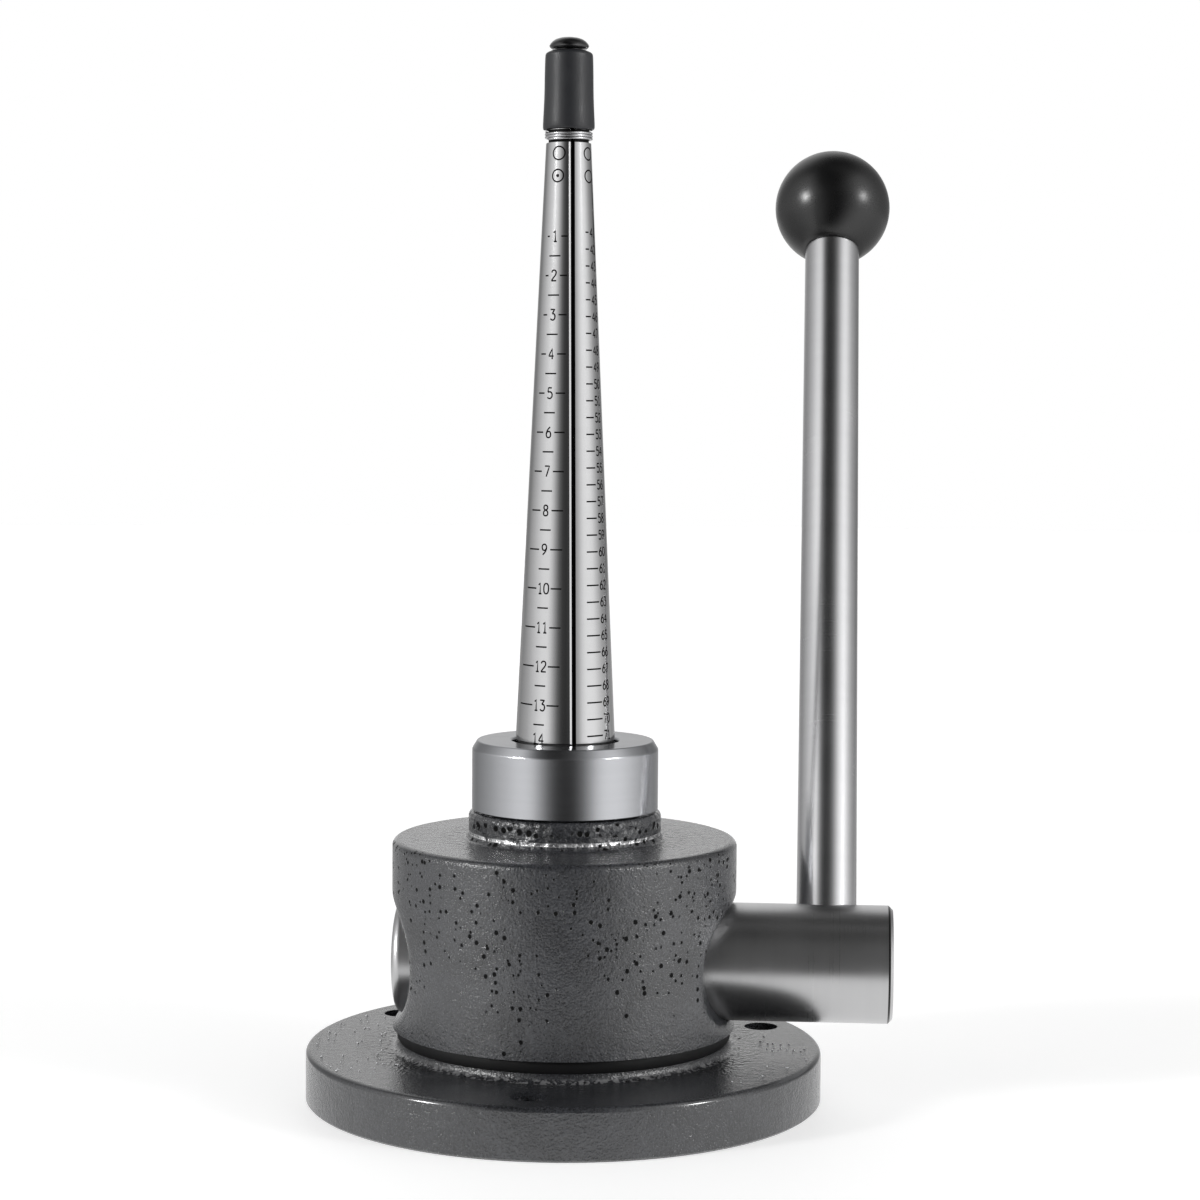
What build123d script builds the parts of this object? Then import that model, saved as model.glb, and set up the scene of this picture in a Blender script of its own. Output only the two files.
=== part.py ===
from build123d import *
import os
from math import atan2, cos, hypot, pi, radians, sin, sqrt

# Ring stretcher: a bench tool that widens finger rings.
# A ring is dropped over a tall mandrel that is split into four leaves round a tapered core.
# The lever turns a cross shaft, a cam in the shaft lifts the core, and the core spreads the leaves.
# Millimetres. Origin: centre of the base's underside. +Z up, +X along the shaft to the lever's side,
# and the user stands on the -Y side and pulls the lever towards the front.

os.makedirs("parts", exist_ok=True)

# ---------------------------------------------------------------- driving dimensions

# base plate
base_d = 120.0
base_t = 12.0
base_chamfer_in = 1.4
base_chamfer_down = 1.0
base_foot_edge = 0.5
seat_d = 77.0
seat_h = 2.0
seat_fillet = 1.6
bench_hole_d = 8.0
bench_hole_inset = 9.0
bench_hole_count = 3
bench_hole_turn = 26.5

# black ring between base and housing
gasket_d = 77.8
gasket_bore_d = 32.0
gasket_t = 3.0

# housing: drum, boss and threaded spigot
drum_d = 80.0
drum_h = 43.7
drum_edge = 1.6
boss_d = 44.7
boss_h = 6.5
boss_foot_fillet = 1.4
boss_edge = 1.3
spigot_d = 34.0
spigot_h = 9.8
spigot_chamfer = 0.6
chamber_d = 21.6
mouth_dish_depth = 6.7
mouth_dish_l = 15.0
mouth_dish_lip = 0.15
mouth_round = 5.0

# cross shaft
shaft_d = 27.2
shaft_rise = 15.3
shaft_left = 39.0
shaft_right = 76.2
shaft_chamfer = 1.0
shaft_left_round = 2.0

# cam cut in the middle of the shaft
cam_width = 16.0
cam_rest = 6.5
cam_lift = 6.0
lever_travel = 110.0
cam_points = 12

# lever
lever_lean = 29.7
lever_x = 60.9
lever_reach = 208.0
rod_d = 14.0
rod_spot_depth = 3.0
rod_foot_thread_d = 10.0
rod_foot_thread_l = 12.0
rod_top_thread_d = 8.0
rod_top_thread_l = 12.0
thread_chamfer = 0.8
ball_d = 30.0
ball_flat_d = 15.0
insert_d = 12.0
insert_l = 14.0
insert_neck_d = 10.4
insert_neck_l = 5.0

# core, its foot, bush and return spring
core_d = 16.0
core_tip_d = 3.34
core_thread_d = 8.0
core_thread_l = 7.4
core_tip_thread_d = 3.0
core_tip_thread_l = 2.6
foot_pad_d = 15.0
foot_pad_h = 7.3
foot_flange_d = 21.0
foot_flange_t = 2.3
foot_edge = 0.5
bush_d = 23.0
bush_l = 14.9
bush_sunk = 0.1
spring_wire_d = 1.4
spring_mean_d = 18.6
spring_turns = 4

# split mandrel
leaf_count = 4
leaf_turn = 15.0
slit_w = 1.8
leaf_root_d = 23.04
leaf_tip_d = 8.66
leaf_h = 154.9
leaf_foot_d = 32.8
leaf_foot_t = 4.0
pin_d = 2.0
pin_l = 8.0
pin_sunk = 5.0
pin_circle_d = 26.4
foot_ring_wire_d = 1.8
foot_groove_d = 29.8
foot_groove_w = 2.0

# collar
collar_d = 43.2
collar_lip_t = 2.5
collar_bore_d = 24.6
collar_chamfer_in = 1.2
collar_chamfer_down = 2.0
collar_bore_chamfer = 0.4

# tip: spring ring, sleeve and end cap
tip_groove_up = 137.0
tip_groove_d = 9.7
tip_groove_w = 2.9
tip_wire_d = 0.6
tip_turns = 2
sleeve_foot_d = 11.96
sleeve_mid_d = 11.3
sleeve_top_d = 10.7
sleeve_l = 17.6
sleeve_mid_up = 7.5
sleeve_round = 1.0
sleeve_roof_t = 2.3
sleeve_eye_d = 4.4
cap_neck_d = 5.8
cap_neck_h = 0.6
cap_d = 9.1
cap_rim_h = 1.2
cap_h = 3.4

# screws from below
screw_d = 8.0
screw_circle_d = 60.0
screw_count = 4
screw_l = 25.0
head_d = 13.0
head_h = 8.0
head_edge = 0.5
hex_af = 6.0
hex_depth = 4.0
washer_t = 1.5
washer_d = 13.4
washer_split = 1.4
head_pocket_d = 14.5
head_sunk = 0.5
screw_hole_d = 9.0

# fits
running_gap = 0.05      # radial, shaft and core in their bores
seat_gap = 0.03         # foot over the cam, collar lip over the leaves' feet, rings in their grooves
thread_gap = 0.02       # radial, threads drawn as plain cylinders
leaf_gap = 0.08         # radial, leaves round the core: a leaf that moves out straight closes part of it
collar_gap = 0.3        # dark line under the collar
tip_gap = 0.2           # cap over the sleeve

# ---------------------------------------------------------------- worked out from them

bench_circle_d = base_d - 2 * bench_hole_inset
shaft_r = shaft_d / 2
drum_z = base_t + seat_h + gasket_t
shaft_z = drum_z + shaft_rise
drum_top = drum_z + drum_h
boss_top = drum_top + boss_h
spigot_top = boss_top + spigot_h

# the foot is flat, so a cam whose radius of swing grows evenly lifts it evenly: rate is in mm per radian
cam_rate = cam_lift / radians(lever_travel)
cam_nose_r = hypot(cam_rest + cam_lift, cam_rate)

foot_z = shaft_z + cam_rest + seat_gap
flange_z = foot_z + foot_pad_h
stem_z = flange_z + foot_flange_t
bush_z = spigot_top - bush_sunk - bush_l

leaf_foot_top = spigot_top + leaf_foot_t
collar_top = leaf_foot_top + seat_gap + collar_lip_t
leaf_top = collar_top + leaf_h
leaf_slope = (leaf_root_d - leaf_tip_d) / 2 / leaf_h
tip_groove_z = collar_top + tip_groove_up
sleeve_z = tip_groove_z + tip_groove_w
sleeve_top = sleeve_z + sleeve_l
cap_z = sleeve_top + tip_gap

core_slope = (core_d - core_tip_d) / 2 / (cap_z - spigot_top)
leaf_spread = cam_lift * core_slope


def leaf_r(z):
    """Outer radius of the closed mandrel at a height."""
    return leaf_root_d / 2 - leaf_slope * (z - collar_top)


def core_r(z):
    """Radius of the lowered core at a height."""
    return core_d / 2 - core_slope * (z - spigot_top)


lever_way = Vector(0, sin(radians(lever_lean)), cos(radians(lever_lean)))


def lean_point(distance):
    """Point on the lever's own axis, at a distance from the shaft's axis."""
    return Vector(lever_x, 0, shaft_z) + lever_way * distance


def lean_plane(distance):
    """Plane square to the lever, at a distance from the shaft's axis."""
    return Plane(origin=lean_point(distance), x_dir=(1, 0, 0), z_dir=lever_way)


def coil_line(mean_r, wire_d, turns, low_z, high_z):
    """Edges of a coil between two heights: each quarter turn is two arcs that meet smoothly.

    Both ends run straight for one wire diameter.
    """
    quarters = 4 * turns
    climb = (high_z - low_z) / (turns + wire_d / (pi * mean_r)) / 4
    end_rise = climb * 2 * wire_d / (pi * mean_r)

    def point(k):
        return Vector(mean_r * cos(k * pi / 2), mean_r * sin(k * pi / 2), low_z + end_rise + climb * k)

    def heading(k):
        return Vector(-mean_r * sin(k * pi / 2), mean_r * cos(k * pi / 2), climb * 2 / pi).normalized()

    Line(point(0) - heading(0) * wire_d, point(0))
    for k in range(quarters):
        start, end = point(k), point(k + 1)
        along = end - start
        both = heading(k) + heading(k + 1)
        a = 4 - both.dot(both)
        b = along.dot(both)
        reach = (sqrt(b * b + a * along.dot(along)) - b) / a
        middle = (start + end + (heading(k) - heading(k + 1)) * reach) * 0.5
        middle_heading = (along - both * reach).normalized()
        TangentArc(start, middle, tangent=heading(k))
        TangentArc(middle, end, tangent=middle_heading)
    Line(point(quarters), point(quarters) + heading(quarters) * wire_d)


def least_gap(wire, wire_d, turns):
    """Least distance from a coil's surface to itself, measured on points along its line."""
    samples_per_turn = 48
    half_turn = samples_per_turn // 2
    steps = samples_per_turn * turns
    points = [wire.position_at(k / steps) for k in range(steps + 1)]
    gaps = [
        (points[i] - points[j]).length
        for i in range(steps + 1)
        for j in range(i + half_turn, steps + 1)
    ]
    return min(gaps) - wire_d


# ---------------------------------------------------------------- base

with BuildPart() as base_plate:
    with BuildSketch(Plane.XZ):
        with BuildLine():
            Polyline(
                (0, 0),
                (base_d / 2 - base_foot_edge, 0),
                (base_d / 2, base_foot_edge),
                (base_d / 2, base_t - base_chamfer_down),
                (base_d / 2 - base_chamfer_in, base_t),
                (seat_d / 2, base_t),
                (seat_d / 2, base_t + seat_h),
                (0, base_t + seat_h),
                close=True,
            )
        make_face()
    revolve(axis=Axis.Z)
    seat_corner = base_plate.edges().filter_by(GeomType.CIRCLE).filter_by_position(Axis.Z, base_t, base_t)
    fillet(seat_corner.sort_by(SortBy.RADIUS)[0], radius=seat_fillet)
    with PolarLocations(bench_circle_d / 2, bench_hole_count, start_angle=bench_hole_turn):
        Hole(radius=bench_hole_d / 2)
    with BuildSketch(Plane.XY):
        with PolarLocations(screw_circle_d / 2, screw_count, start_angle=180 / screw_count):
            Circle(screw_hole_d / 2)
    extrude(amount=base_t + seat_h, mode=Mode.SUBTRACT)
    with BuildSketch(Plane.XY):
        with PolarLocations(screw_circle_d / 2, screw_count, start_angle=180 / screw_count):
            Circle(head_pocket_d / 2)
    extrude(amount=head_sunk + head_h + washer_t, mode=Mode.SUBTRACT)
base_plate.part.label = "base_plate"

with BuildPart() as base_gasket:
    with BuildSketch(Plane.XY.offset(base_t + seat_h)):
        Circle(gasket_d / 2)
        Circle(gasket_bore_d / 2, mode=Mode.SUBTRACT)
        with PolarLocations(screw_circle_d / 2, screw_count, start_angle=180 / screw_count):
            Circle(screw_hole_d / 2, mode=Mode.SUBTRACT)
    extrude(amount=gasket_t)
base_gasket.part.label = "base_gasket"

# ---------------------------------------------------------------- housing

blank_z = drum_z - 2 * mouth_round
dish_at = drum_d / 2 - mouth_dish_depth + mouth_dish_l / 2

with BuildPart() as housing:
    # the drum is left long below, so that the dishes round the cross bore can be softened all the way round
    with BuildSketch(Plane.XY.offset(blank_z)):
        Circle(drum_d / 2)
    extrude(amount=drum_top - blank_z)
    fillet(housing.edges().group_by(Axis.Z)[-1], radius=drum_edge)
    # a shallow dish across each side, so that the shaft comes out of a face that is nearly square to it
    with BuildSketch(Plane.XZ.offset(-drum_d)):
        with Locations((-dish_at, shaft_z), (dish_at, shaft_z)):
            Ellipse(mouth_dish_l / 2, shaft_r + running_gap + mouth_dish_lip)
    extrude(amount=2 * drum_d, mode=Mode.SUBTRACT)
    fillet(housing.edges(Select.LAST).filter_by(GeomType.LINE, reverse=True), radius=mouth_round)
    with BuildSketch(Plane.YZ.offset(-drum_d)):
        with Locations((0, shaft_z)):
            Circle(shaft_r + running_gap)
    extrude(amount=2 * drum_d, mode=Mode.SUBTRACT)
    with BuildSketch(Plane.XY.offset(blank_z)):
        Rectangle(2 * drum_d, 2 * drum_d)
    extrude(amount=drum_z - blank_z, mode=Mode.SUBTRACT)
    # boss and spigot
    with BuildSketch(Plane.XY.offset(drum_top)):
        Circle(boss_d / 2)
    extrude(amount=boss_h)
    fillet(housing.edges().group_by(Axis.Z)[-1], radius=boss_edge)
    boss_foot = housing.edges().filter_by(GeomType.CIRCLE).filter_by_position(Axis.Z, drum_top, drum_top)
    fillet(boss_foot.sort_by(SortBy.RADIUS)[0], radius=boss_foot_fillet)
    with BuildSketch(Plane.XY.offset(boss_top)):
        Circle(spigot_d / 2)
    extrude(amount=spigot_h)
    chamfer(housing.edges().group_by(Axis.Z)[-1], length=spigot_chamfer)
    # bush seat from the top, spring chamber down to the shaft
    with BuildSketch(Plane.XY.offset(bush_z)):
        Circle(bush_d / 2)
    extrude(amount=spigot_top - bush_z, mode=Mode.SUBTRACT)
    with BuildSketch(Plane.XY.offset(shaft_z)):
        Circle(chamber_d / 2)
    extrude(amount=bush_z - shaft_z, mode=Mode.SUBTRACT)
    # tapped holes for the screws from below, dowel holes in the spigot's face
    with BuildSketch(Plane.XY.offset(drum_z)):
        with PolarLocations(screw_circle_d / 2, screw_count, start_angle=180 / screw_count):
            Circle(screw_d / 2 + thread_gap)
    extrude(amount=screw_l, mode=Mode.SUBTRACT)
    with BuildSketch(Plane.XY.offset(spigot_top - pin_sunk)):
        with PolarLocations(pin_circle_d / 2, leaf_count, start_angle=leaf_turn + 180 / leaf_count):
            Circle(pin_d / 2)
    extrude(amount=pin_sunk, mode=Mode.SUBTRACT)
housing.part.label = "housing"

# ---------------------------------------------------------------- screws that hold the housing on the base

with BuildPart() as body_screws:
    with BuildSketch(Plane.XY.offset(head_sunk)):
        with PolarLocations(screw_circle_d / 2, screw_count, start_angle=180 / screw_count):
            Circle(head_d / 2)
    extrude(amount=head_h)
    with BuildSketch(Plane.XY.offset(head_sunk + head_h)):
        with PolarLocations(screw_circle_d / 2, screw_count, start_angle=180 / screw_count):
            Circle(screw_d / 2)
    extrude(amount=screw_l)
    chamfer(body_screws.edges().group_by(Axis.Z)[-1], length=thread_chamfer)
    chamfer(body_screws.edges().group_by(Axis.Z)[0], length=head_edge)
    with BuildSketch(Plane.XY.offset(head_sunk)):
        with PolarLocations(screw_circle_d / 2, screw_count, start_angle=180 / screw_count):
            RegularPolygon(radius=hex_af / 2, side_count=6, major_radius=False)
    extrude(amount=hex_depth, mode=Mode.SUBTRACT)
body_screws.part.label = "body_screws"

with BuildPart() as screw_washers:
    with BuildSketch(Plane.XY.offset(head_sunk + head_h)):
        with PolarLocations(screw_circle_d / 2, screw_count, start_angle=180 / screw_count):
            Circle(washer_d / 2)
            Circle(screw_d / 2 + running_gap, mode=Mode.SUBTRACT)
            with Locations((washer_d / 2, 0)):
                Rectangle(washer_d, washer_split, mode=Mode.SUBTRACT)
    extrude(amount=washer_t)
screw_washers.part.label = "screw_washers"

# ---------------------------------------------------------------- cross shaft with its cam

with BuildPart() as lever_shaft:
    with BuildSketch(Plane.YZ.offset(-shaft_left)):
        with Locations((0, shaft_z)):
            Circle(shaft_r)
    extrude(amount=shaft_left + shaft_right)
    shaft_ends = lever_shaft.edges().filter_by(GeomType.CIRCLE).sort_by(Axis.X)
    fillet(shaft_ends[0], radius=shaft_left_round)
    chamfer(shaft_ends[-1], length=shaft_chamfer)
    # the groove leaves a spiral that the foot rides on, and a flat where it rests
    with BuildSketch(Plane.YZ.offset(-cam_width / 2)) as groove:
        with Locations((0, shaft_z)):
            Circle(shaft_r + shaft_chamfer)
        with BuildLine():
            spiral = []
            for k in range(cam_points + 1):
                turn = radians(lever_travel) * k / cam_points
                reach = cam_rest + cam_rate * turn
                spiral.append((
                    reach * sin(turn) + cam_rate * cos(turn),
                    shaft_z + reach * cos(turn) - cam_rate * sin(turn),
                ))
            flat_end = (-sqrt(cam_nose_r**2 - cam_rest**2), shaft_z + cam_rest)
            nose_turn = radians(lever_travel) + atan2(cam_rate, cam_rest + cam_lift)
            back_turn = (nose_turn + 2 * pi - atan2(-flat_end[0], cam_rest)) / 2
            back = (cam_nose_r * sin(back_turn), shaft_z + cam_nose_r * cos(back_turn))
            Line(flat_end, spiral[0])
            Spline(*spiral)
            ThreePointArc(spiral[-1], back, flat_end)
        make_face(mode=Mode.SUBTRACT)
    extrude(amount=cam_width, mode=Mode.SUBTRACT)
    # seat and tapped hole for the lever's rod
    spot_at = sqrt(shaft_r**2 - (rod_d / 2) ** 2) - rod_spot_depth
    with BuildSketch(lean_plane(spot_at)):
        Circle(rod_d / 2 + thread_gap)
    extrude(amount=shaft_r, mode=Mode.SUBTRACT)
    with BuildSketch(lean_plane(spot_at)):
        Circle(rod_foot_thread_d / 2 + thread_gap)
    extrude(amount=-(rod_foot_thread_l + thread_chamfer), mode=Mode.SUBTRACT)
lever_shaft.part.label = "lever_shaft"

# ---------------------------------------------------------------- rod, ball and its insert

flat_at = lever_reach - sqrt((ball_d / 2) ** 2 - (ball_flat_d / 2) ** 2)

with BuildPart() as lever_rod:
    with BuildSketch(lean_plane(spot_at)):
        Circle(rod_d / 2)
    extrude(amount=flat_at - spot_at)
    with BuildSketch(lean_plane(flat_at)):
        Circle(rod_top_thread_d / 2)
    extrude(amount=rod_top_thread_l)
    with BuildSketch(lean_plane(spot_at)):
        Circle(rod_foot_thread_d / 2)
    extrude(amount=-rod_foot_thread_l)
    rod_ends = lever_rod.faces().filter_by(GeomType.PLANE).sort_by(Axis((0, 0, 0), lever_way))
    chamfer(rod_ends[0].edges() + rod_ends[-1].edges(), length=thread_chamfer)
lever_rod.part.label = "lever_rod"

lever_axis = Axis(lean_point(0), lever_way)
side_plane = Plane(origin=lean_point(flat_at), x_dir=(1, 0, 0), z_dir=-lean_plane(0).y_dir)
insert_profile = [
    (0, 0),
    (insert_d / 2, 0),
    (insert_d / 2, (insert_l - insert_neck_l) / 2),
    (insert_neck_d / 2, (insert_l - insert_neck_l) / 2),
    (insert_neck_d / 2, (insert_l + insert_neck_l) / 2),
    (insert_d / 2, (insert_l + insert_neck_l) / 2),
    (insert_d / 2, insert_l),
    (0, insert_l),
]

with BuildPart() as ball_knob:
    with Locations(lean_plane(lever_reach)):
        Sphere(ball_d / 2)
    with BuildSketch(lean_plane(flat_at)):
        Circle(ball_d)
    extrude(amount=-ball_d, mode=Mode.SUBTRACT)
    with BuildSketch(side_plane):
        with BuildLine():
            Polyline(*insert_profile, close=True)
        make_face()
    revolve(axis=lever_axis, mode=Mode.SUBTRACT)
ball_knob.part.label = "ball_knob"

with BuildPart() as knob_insert:
    with BuildSketch(side_plane):
        with BuildLine():
            Polyline(*insert_profile, close=True)
        make_face()
    revolve(axis=lever_axis)
    with BuildSketch(lean_plane(flat_at)):
        Circle(rod_top_thread_d / 2 + thread_gap)
    extrude(amount=rod_top_thread_l + thread_chamfer, mode=Mode.SUBTRACT)
knob_insert.part.label = "knob_insert"

# ---------------------------------------------------------------- core and what guides it

with BuildPart() as cam_follower:
    with BuildSketch(Plane.XY.offset(foot_z)):
        Circle(foot_pad_d / 2)
    extrude(amount=foot_pad_h)
    chamfer(cam_follower.edges().group_by(Axis.Z)[0], length=foot_edge)
    with BuildSketch(Plane.XY.offset(flange_z)):
        Circle(foot_flange_d / 2)
    extrude(amount=foot_flange_t)
    chamfer(cam_follower.faces().sort_by(Axis.Z)[-1].edges(), length=foot_edge)
    with BuildSketch(Plane.XY.offset(stem_z)):
        Circle(core_thread_d / 2 + thread_gap)
    extrude(amount=-(core_thread_l + seat_gap), mode=Mode.SUBTRACT)
cam_follower.part.label = "cam_follower"

with BuildPart() as tapered_core:
    with BuildSketch(Plane.XZ):
        with BuildLine():
            Polyline(
                (0, stem_z - core_thread_l),
                (core_thread_d / 2, stem_z - core_thread_l),
                (core_thread_d / 2, stem_z),
                (core_d / 2, stem_z),
                (core_d / 2, spigot_top),
                (core_tip_d / 2, cap_z),
                (core_tip_thread_d / 2, cap_z),
                (core_tip_thread_d / 2, cap_z + core_tip_thread_l),
                (0, cap_z + core_tip_thread_l),
                close=True,
            )
        make_face()
    revolve(axis=Axis.Z)
tapered_core.part.label = "tapered_core"

with BuildPart() as guide_bush:
    with BuildSketch(Plane.XY.offset(bush_z)):
        Circle(bush_d / 2)
        Circle(core_d / 2 + running_gap, mode=Mode.SUBTRACT)
    extrude(amount=bush_l)
guide_bush.part.label = "guide_bush"

spring_low = stem_z + seat_gap + spring_wire_d / 2
spring_high = bush_z - seat_gap - spring_wire_d / 2

with BuildPart() as return_spring:
    with BuildLine() as spring_line:
        coil_line(spring_mean_d / 2, spring_wire_d, spring_turns, spring_low, spring_high)
    with BuildSketch(Plane(origin=spring_line.line @ 0, z_dir=spring_line.line % 0)):
        Circle(spring_wire_d / 2)
    sweep()
return_spring.part.label = "return_spring"
print("return spring, least gap to itself:", round(least_gap(spring_line.wire(), spring_wire_d, spring_turns), 2))

# ---------------------------------------------------------------- split mandrel

groove_low = spigot_top + (leaf_foot_t - foot_groove_w) / 2
slot_in = pin_circle_d / 2 - pin_d / 2 - leaf_spread - running_gap
slot_out = pin_circle_d / 2 + pin_d / 2 + running_gap

for number in range(leaf_count):
    leaf_angle = leaf_turn + (number + 0.5) * 360 / leaf_count
    with BuildPart() as leaf:
        with BuildSketch(Plane.XZ):
            with BuildLine():
                Polyline(
                    (core_r(spigot_top) + leaf_gap, spigot_top),
                    (leaf_foot_d / 2, spigot_top),
                    (leaf_foot_d / 2, groove_low),
                    (foot_groove_d / 2, groove_low),
                    (foot_groove_d / 2, groove_low + foot_groove_w),
                    (leaf_foot_d / 2, groove_low + foot_groove_w),
                    (leaf_foot_d / 2, leaf_foot_top),
                    (leaf_r(leaf_foot_top), leaf_foot_top),
                    (leaf_r(tip_groove_z), tip_groove_z),
                    (tip_groove_d / 2, tip_groove_z),
                    (tip_groove_d / 2, tip_groove_z + tip_groove_w),
                    (leaf_r(tip_groove_z + tip_groove_w), tip_groove_z + tip_groove_w),
                    (leaf_r(leaf_top), leaf_top),
                    (core_r(leaf_top) + leaf_gap, leaf_top),
                    close=True,
                )
            make_face()
        revolve(axis=Axis.Z)
        # one quarter, less half a slit on each side
        with BuildSketch(Plane.XY.offset(spigot_top).rotated((0, 0, leaf_angle - 180 / leaf_count))):
            with Locations((slit_w / 2, slit_w / 2)):
                Rectangle(leaf_foot_d, leaf_foot_d, align=(Align.MIN, Align.MIN))
        extrude(amount=leaf_top - spigot_top, mode=Mode.INTERSECT)
        # slot for the dowel that keeps the leaf on its own line
        with BuildSketch(Plane.XY.offset(spigot_top).rotated((0, 0, leaf_angle))):
            with Locations(((slot_in + slot_out) / 2, 0)):
                SlotOverall(slot_out - slot_in, pin_d + 2 * running_gap)
        extrude(amount=leaf_foot_t, mode=Mode.SUBTRACT)
    leaf.part.label = f"mandrel_leaf_{number + 1}"
    export_step(leaf.part, f"parts/mandrel_leaf_{number + 1}.step")

with BuildPart() as leaf_pins:
    with BuildSketch(Plane.XY.offset(spigot_top - pin_sunk)):
        with PolarLocations(pin_circle_d / 2, leaf_count, start_angle=leaf_turn + 180 / leaf_count):
            Circle(pin_d / 2)
    extrude(amount=pin_l)
leaf_pins.part.label = "leaf_pins"

with BuildPart() as foot_ring:
    with BuildSketch(Plane.XZ):
        with Locations((foot_groove_d / 2 + foot_ring_wire_d / 2 + seat_gap, groove_low + foot_groove_w / 2)):
            Circle(foot_ring_wire_d / 2)
    revolve(axis=Axis.Z)
foot_ring.part.label = "foot_ring"

# ---------------------------------------------------------------- collar

collar_z = boss_top + collar_gap

with BuildPart() as collar:
    with BuildSketch(Plane.XZ):
        with BuildLine():
            Polyline(
                (spigot_d / 2 + running_gap, collar_z),
                (collar_d / 2, collar_z),
                (collar_d / 2, collar_top - collar_chamfer_down),
                (collar_d / 2 - collar_chamfer_in, collar_top),
                (collar_bore_d / 2 + collar_bore_chamfer, collar_top),
                (collar_bore_d / 2, collar_top - collar_bore_chamfer),
                (collar_bore_d / 2, collar_top - collar_lip_t),
                (spigot_d / 2 + running_gap, collar_top - collar_lip_t),
                close=True,
            )
        make_face()
    revolve(axis=Axis.Z)
collar.part.label = "collar"

# ---------------------------------------------------------------- tip

tip_mean_r = tip_groove_d / 2 + tip_wire_d / 2 + seat_gap
tip_low = tip_groove_z + seat_gap + tip_wire_d / 2
tip_high = tip_groove_z + tip_groove_w - seat_gap - tip_wire_d / 2

with BuildPart() as spring_ring:
    with BuildLine() as ring_line:
        coil_line(tip_mean_r, tip_wire_d, tip_turns, tip_low, tip_high)
    with BuildSketch(Plane(origin=ring_line.line @ 0, z_dir=ring_line.line % 0)):
        Circle(tip_wire_d / 2)
    sweep()
spring_ring.part.label = "spring_ring"
print("spring ring, least gap to itself:", round(least_gap(ring_line.wire(), tip_wire_d, tip_turns), 2))

with BuildPart() as tip_sleeve:
    with BuildSketch(Plane.XZ):
        with BuildLine():
            Polyline(
                (leaf_r(sleeve_z) + seat_gap, sleeve_z),
                (sleeve_foot_d / 2, sleeve_z),
                (sleeve_mid_d / 2, sleeve_z + sleeve_mid_up),
                (sleeve_top_d / 2, sleeve_top),
                (sleeve_eye_d / 2, sleeve_top),
                (sleeve_eye_d / 2, sleeve_top - sleeve_roof_t),
                (leaf_r(sleeve_top - sleeve_roof_t) + seat_gap, sleeve_top - sleeve_roof_t),
                close=True,
            )
        make_face()
    revolve(axis=Axis.Z)
    shoulder = tip_sleeve.edges().filter_by_position(Axis.Z, sleeve_top, sleeve_top)
    fillet(shoulder.sort_by(SortBy.RADIUS)[-1], radius=sleeve_round)
tip_sleeve.part.label = "tip_sleeve"

rim_z = cap_z + cap_neck_h + cap_rim_h
dome_h = cap_z + cap_h - rim_z
dome_r = ((cap_d / 2) ** 2 + dome_h**2) / (2 * dome_h)

with BuildPart() as end_cap:
    with BuildSketch(Plane.XZ):
        with BuildLine():
            Polyline(
                (0, cap_z + cap_h),
                (0, cap_z),
                (cap_neck_d / 2, cap_z),
                (cap_neck_d / 2, cap_z + cap_neck_h),
                (cap_d / 2, cap_z + cap_neck_h),
                (cap_d / 2, rim_z),
            )
            RadiusArc((cap_d / 2, rim_z), (0, cap_z + cap_h), -dome_r)
        make_face()
    revolve(axis=Axis.Z)
    with BuildSketch(Plane.XY.offset(cap_z)):
        Circle(core_tip_thread_d / 2 + thread_gap)
    extrude(amount=core_tip_thread_l + thread_gap, mode=Mode.SUBTRACT)
end_cap.part.label = "end_cap"

# ---------------------------------------------------------------- files

pieces = [
    base_plate, base_gasket, housing, body_screws, screw_washers, lever_shaft, lever_rod, ball_knob,
    knob_insert, cam_follower, tapered_core, guide_bush, return_spring, leaf_pins, foot_ring, collar,
    spring_ring, tip_sleeve, end_cap,
]
for piece in pieces:
    export_step(piece.part, f"parts/{piece.part.label}.step")

print("cam rate, mm per radian:", round(cam_rate, 5))
print("leaf spread at full travel, mm:", round(leaf_spread, 4))
print("leaf spread, mm per radian:", round(leaf_spread / radians(lever_travel), 6))
print("shaft axis height:", round(shaft_z, 3), "cap top:", round(cap_z + cap_h, 3))
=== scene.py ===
# %% [markdown]
# # A ring stretcher, dressed for its portrait
# The tool widens finger rings. A ring is dropped over the tall steel mandrel, the lever is pulled,
# and a tapered core inside spreads the mandrel's four leaves.
# The working model comes packed from CAD. This lesson loads it as a fixed frame, models the pieces
# that are looked at most again with finer edges and details, and gives every piece its finish.

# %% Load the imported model
from functools import partial
from math import atan2, cos, pi, radians, sin, sqrt
from random import Random

import bpy
from mathutils import Matrix, Vector


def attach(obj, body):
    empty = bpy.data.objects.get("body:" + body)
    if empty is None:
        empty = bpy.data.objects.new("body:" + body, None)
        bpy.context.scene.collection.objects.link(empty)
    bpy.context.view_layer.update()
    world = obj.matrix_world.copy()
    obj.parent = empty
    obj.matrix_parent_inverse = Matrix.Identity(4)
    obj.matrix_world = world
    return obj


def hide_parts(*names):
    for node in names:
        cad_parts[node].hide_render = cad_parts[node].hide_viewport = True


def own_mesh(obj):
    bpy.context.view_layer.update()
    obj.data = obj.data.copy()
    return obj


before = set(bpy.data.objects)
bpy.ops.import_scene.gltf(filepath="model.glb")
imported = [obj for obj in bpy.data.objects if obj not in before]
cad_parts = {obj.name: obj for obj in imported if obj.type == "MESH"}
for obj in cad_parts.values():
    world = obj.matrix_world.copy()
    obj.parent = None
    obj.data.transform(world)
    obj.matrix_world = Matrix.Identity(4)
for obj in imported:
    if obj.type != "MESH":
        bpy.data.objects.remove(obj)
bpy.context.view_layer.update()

MM = 0.001

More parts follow.
